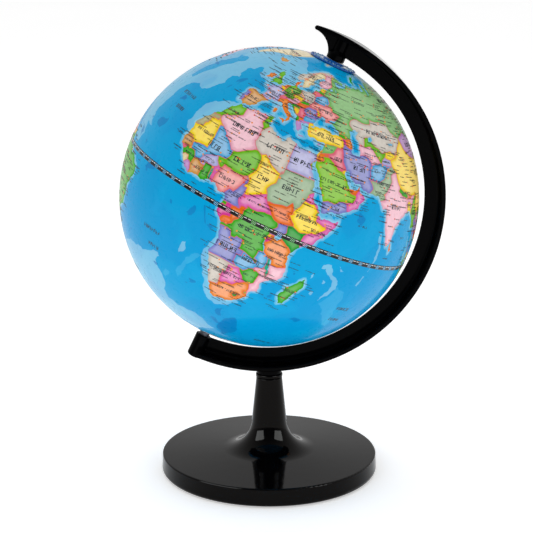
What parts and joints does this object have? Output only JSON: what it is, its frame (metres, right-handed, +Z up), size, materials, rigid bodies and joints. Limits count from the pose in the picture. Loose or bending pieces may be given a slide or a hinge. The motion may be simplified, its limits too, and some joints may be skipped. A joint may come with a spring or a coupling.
{
  "type": "desktop globe",
  "caption": "Desktop globe that spins on a tilted polar axis in a C-shaped arm, on a short stem and a weighted round base.",
  "frame": {"origin": "centre of the base's underside, on the surface that it stands on", "axes": "+Z up, +X towards the side that the north pole leans to and that the arm passes round, +Y away from a viewer who sees the arm on the right"},
  "size_m": [0.2167, 0.2002, 0.3067],
  "materials": {
    "gloss_black": "high gloss moulded black plastic",
    "printed_map": "printed map under a glossy clear coat, mostly sea blue",
    "equator_print": "printed tape, black and white graduations",
    "dial_blue": "glossy blue moulded plastic with pale raised figures",
    "shell_plastic": "natural white moulded plastic",
    "nylon": "off-white nylon",
    "black_plate": "fine textured black plastic",
    "steel": "zinc plated steel",
    "weight_steel": "raw ballast steel, lightly oiled",
    "foam_rubber": "soft closed-cell non-slip sheet"
  },
  "bodies": {
    "stand": {"base_pedestal": "gloss_black", "base_weight": "weight_steel", "base_cover": "black_plate", "cover_screws": "steel", "base_pad": "foam_rubber", "stem_screw": "steel", "stem_washer": "steel", "stem_collar": "gloss_black", "meridian_arm": "gloss_black", "north_pin": "steel", "south_pin": "steel", "thrust_washer": "nylon"},
    "globe": {"north_shell": "shell_plastic", "south_shell": "shell_plastic", "shell_joiner": "shell_plastic", "north_map_skin": "printed_map", "south_map_skin": "printed_map", "equator_tape": "equator_print", "north_bush": "nylon", "south_bush": "nylon"},
    "dial": {"time_dial": "dial_blue"}
  },
  "joints": [
    {"name": "globe_spin", "type": "hinge", "parent": "stand", "child": "globe", "pos_m": [0, 0, 0.1924], "axis": [0.4226, 0, 0.9063], "continuous": true},
    {"name": "dial_turn", "type": "hinge", "parent": "globe", "child": "dial", "pos_m": [0, 0, 0.1924], "axis": [0.4226, 0, 0.9063], "continuous": true}
  ]
}
